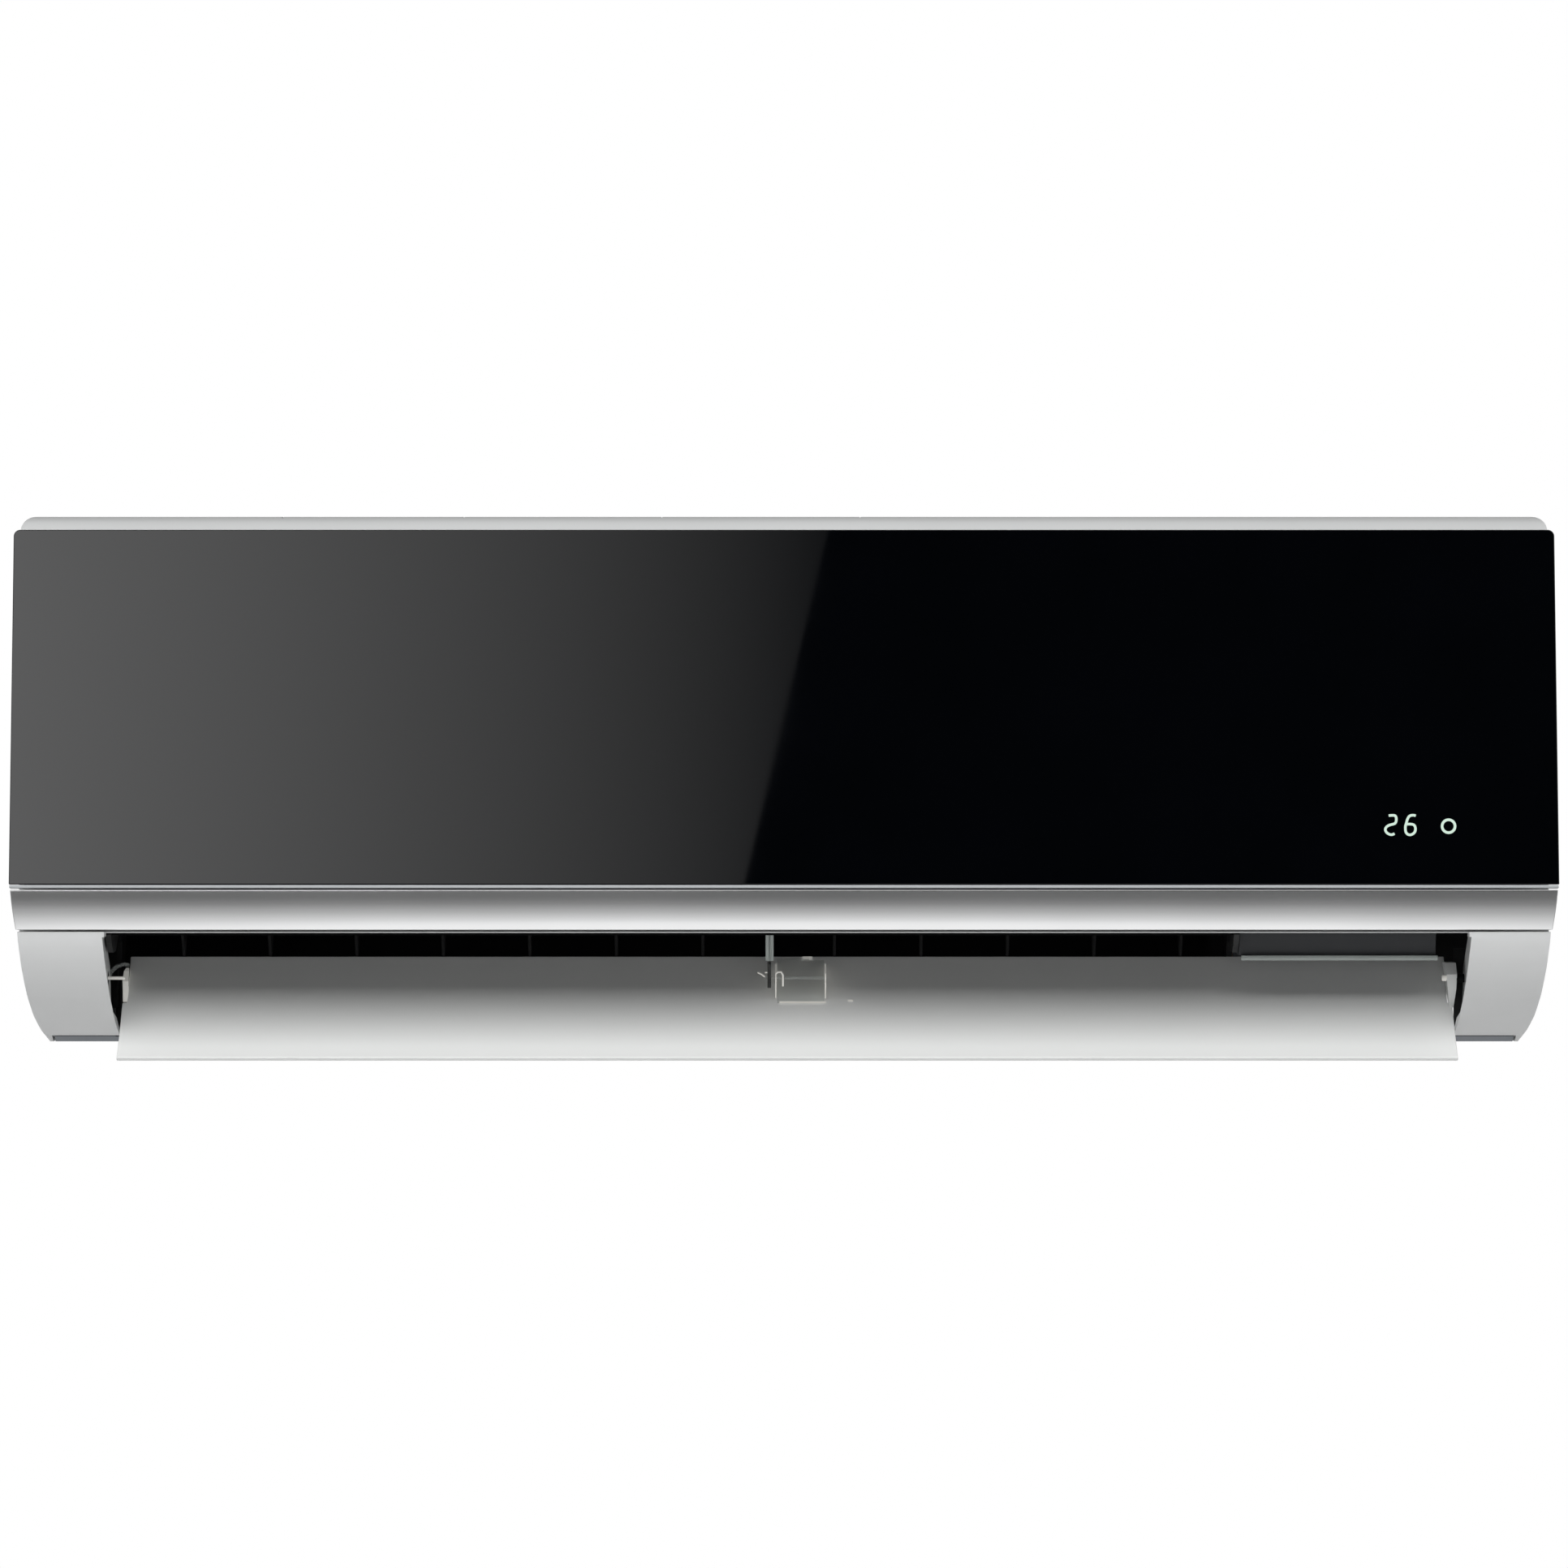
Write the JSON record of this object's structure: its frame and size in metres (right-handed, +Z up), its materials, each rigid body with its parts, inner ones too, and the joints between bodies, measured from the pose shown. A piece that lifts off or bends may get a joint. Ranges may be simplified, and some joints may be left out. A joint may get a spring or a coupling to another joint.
{
  "type": "mini split indoor unit",
  "caption": "Wall-mounted indoor unit of a split air conditioner: black glass panel, silver trim, open air louver, vane banks and cross-flow fan.",
  "frame": {"origin": "middle of the wall plate's back face, where the unit meets the wall", "axes": "+X right as seen from the front, +Y into the wall, +Z up"},
  "size_m": [0.85, 0.2006, 0.3006],
  "materials": {
    "casing_plastic": "satin light grey moulded plastic",
    "dark_plastic": "matt black moulded plastic",
    "grey_plastic": "matt dark grey moulded plastic",
    "white_plastic": "plain off-white moulded plastic",
    "louver_plastic": "satin white moulded plastic",
    "filter_plastic": "fine dark net in a moulded frame",
    "circuit_board": "green lacquered circuit board",
    "clear_plastic": "bright edge strip under the glass",
    "silver_paint": "silver metallic paint",
    "black_glass": "toughened glass, painted black behind, polished front",
    "galvanised_steel": "galvanised sheet steel",
    "bare_steel": "ground steel",
    "aluminium_fins": "bare aluminium fins",
    "copper_tube": "bare copper tube",
    "brass_metal": "turned brass",
    "black_rubber": "black rubber"
  },
  "bodies": {
    "body": {"front_frame": "casing_plastic", "top_grille": "casing_plastic", "rear_chassis": "dark_plastic", "drain_tray": "dark_plastic", "outlet_blank": "grey_plastic", "louver_bracket": "grey_plastic", "wall_plate": "galvanised_steel", "louver_motor": "galvanised_steel", "fan_motor": "galvanised_steel", "motor_clamp": "white_plastic", "bearing_holder": "black_rubber", "fan_bearing": "brass_metal", "evaporator_front": "aluminium_fins", "evaporator_top": "aluminium_fins", "evaporator_rear": "aluminium_fins", "evaporator_end_left": "copper_tube", "evaporator_end_right": "copper_tube", "gas_pipe": "copper_tube", "liquid_pipe": "copper_tube", "gas_nut": "brass_metal", "liquid_nut": "brass_metal", "pipe_clamp": "white_plastic", "drain_hose": "white_plastic", "drain_plug": "black_rubber", "filter_left": "filter_plastic", "filter_right": "filter_plastic", "control_box": "white_plastic", "control_board": "circuit_board", "control_box_cover": "white_plastic", "terminal_block": "grey_plastic"},
    "panel": {"glass_panel": "black_glass", "panel_carrier": "dark_plastic", "panel_edge_strip": "clear_plastic", "silver_trim": "silver_paint", "display_board": "circuit_board", "display_mask": "grey_plastic"},
    "louver": {"louver": "louver_plastic"},
    "fan": {"fan_wheel": "dark_plastic", "fan_shaft": "bare_steel"},
    "button": {"manual_button": "white_plastic"},
    "link_left": {"link_left": "dark_plastic"},
    "link_right": {"link_right": "dark_plastic"},
    "vane_left_1": {"vane_left_1": "dark_plastic"},
    "vane_left_2": {"vane_left_2": "dark_plastic"},
    "vane_left_3": {"vane_left_3": "dark_plastic"},
    "vane_left_4": {"vane_left_4": "dark_plastic"},
    "vane_left_5": {"vane_left_5": "dark_plastic"},
    "vane_left_6": {"vane_left_6": "dark_plastic"},
    "vane_left_7": {"vane_left_7": "dark_plastic"},
    "vane_right_1": {"vane_right_1": "dark_plastic"},
    "vane_right_2": {"vane_right_2": "dark_plastic"},
    "vane_right_3": {"vane_right_3": "dark_plastic"},
    "vane_right_4": {"vane_right_4": "dark_plastic"},
    "vane_right_5": {"vane_right_5": "dark_plastic"}
  },
  "joints": [
    {"name": "panel_lift", "type": "hinge", "parent": "body", "child": "panel", "pos_m": [0, -0.1765, 0.1332], "axis": [-1, 0, 0], "range_deg": [0, 65]},
    {"name": "louver_swing", "type": "hinge", "parent": "body", "child": "louver", "pos_m": [0, -0.14, -0.11], "axis": [1, 0, 0], "range_deg": [-79, 12]},
    {"name": "fan_spin", "type": "hinge", "parent": "body", "child": "fan", "pos_m": [0, -0.096, -0.03], "axis": [1, 0, 0], "continuous": true},
    {"name": "button_press", "type": "slide", "parent": "body", "child": "button", "axis": [0, 1, 0], "range_m": [0, 0.0015], "stiffness_N_per_m": 300},
    {"name": "vane_left_1_turn", "type": "hinge", "parent": "body", "child": "vane_left_1", "pos_m": [-0.333, -0.1594, -0.06984], "axis": [0, 0.7017, -0.7125], "range_deg": [-35, 35]},
    {"name": "vane_left_2_turn", "type": "hinge", "parent": "body", "child": "vane_left_2", "pos_m": [-0.285, -0.1594, -0.06984], "axis": [0, 0.7017, -0.7125], "range_deg": [-35, 35]},
    {"name": "vane_left_3_turn", "type": "hinge", "parent": "body", "child": "vane_left_3", "pos_m": [-0.237, -0.1594, -0.06984], "axis": [0, 0.7017, -0.7125], "range_deg": [-35, 35]},
    {"name": "vane_left_4_turn", "type": "hinge", "parent": "body", "child": "vane_left_4", "pos_m": [-0.189, -0.1594, -0.06984], "axis": [0, 0.7017, -0.7125], "range_deg": [-35, 35]},
    {"name": "vane_left_5_turn", "type": "hinge", "parent": "body", "child": "vane_left_5", "pos_m": [-0.141, -0.1594, -0.06984], "axis": [0, 0.7017, -0.7125], "range_deg": [-35, 35]},
    {"name": "vane_left_6_turn", "type": "hinge", "parent": "body", "child": "vane_left_6", "pos_m": [-0.093, -0.1594, -0.06984], "axis": [0, 0.7017, -0.7125], "range_deg": [-35, 35]},
    {"name": "vane_left_7_turn", "type": "hinge", "parent": "body", "child": "vane_left_7", "pos_m": [-0.045, -0.1594, -0.06984], "axis": [0, 0.7017, -0.7125], "range_deg": [-35, 35]},
    {"name": "link_left_turn", "type": "hinge", "parent": "vane_left_1", "child": "link_left", "pos_m": [-0.333, -0.14515, -0.05581], "axis": [0, 0.7017, -0.7125], "range_deg": [-35, 35]},
    {"name": "vane_right_1_turn", "type": "hinge", "parent": "body", "child": "vane_right_1", "pos_m": [0.028, -0.1594, -0.06984], "axis": [0, 0.7017, -0.7125], "range_deg": [-35, 35]},
    {"name": "vane_right_2_turn", "type": "hinge", "parent": "body", "child": "vane_right_2", "pos_m": [0.076, -0.1594, -0.06984], "axis": [0, 0.7017, -0.7125], "range_deg": [-35, 35]},
    {"name": "vane_right_3_turn", "type": "hinge", "parent": "body", "child": "vane_right_3", "pos_m": [0.124, -0.1594, -0.06984], "axis": [0, 0.7017, -0.7125], "range_deg": [-35, 35]},
    {"name": "vane_right_4_turn", "type": "hinge", "parent": "body", "child": "vane_right_4", "pos_m": [0.172, -0.1594, -0.06984], "axis": [0, 0.7017, -0.7125], "range_deg": [-35, 35]},
    {"name": "vane_right_5_turn", "type": "hinge", "parent": "body", "child": "vane_right_5", "pos_m": [0.22, -0.1594, -0.06984], "axis": [0, 0.7017, -0.7125], "range_deg": [-35, 35]},
    {"name": "link_right_turn", "type": "hinge", "parent": "vane_right_1", "child": "link_right", "pos_m": [0.028, -0.14515, -0.05581], "axis": [0, 0.7017, -0.7125], "range_deg": [-35, 35]}
  ],
  "couplings": [
    {"joint": "vane_left_2_turn", "follows": "vane_left_1_turn", "ratio": 1},
    {"joint": "vane_left_3_turn", "follows": "vane_left_1_turn", "ratio": 1},
    {"joint": "vane_left_4_turn", "follows": "vane_left_1_turn", "ratio": 1},
    {"joint": "vane_left_5_turn", "follows": "vane_left_1_turn", "ratio": 1},
    {"joint": "vane_left_6_turn", "follows": "vane_left_1_turn", "ratio": 1},
    {"joint": "vane_left_7_turn", "follows": "vane_left_1_turn", "ratio": 1},
    {"joint": "link_left_turn", "follows": "vane_left_1_turn", "ratio": -1},
    {"joint": "vane_right_2_turn", "follows": "vane_right_1_turn", "ratio": 1},
    {"joint": "vane_right_3_turn", "follows": "vane_right_1_turn", "ratio": 1},
    {"joint": "vane_right_4_turn", "follows": "vane_right_1_turn", "ratio": 1},
    {"joint": "vane_right_5_turn", "follows": "vane_right_1_turn", "ratio": 1},
    {"joint": "link_right_turn", "follows": "vane_right_1_turn", "ratio": -1}
  ]
}
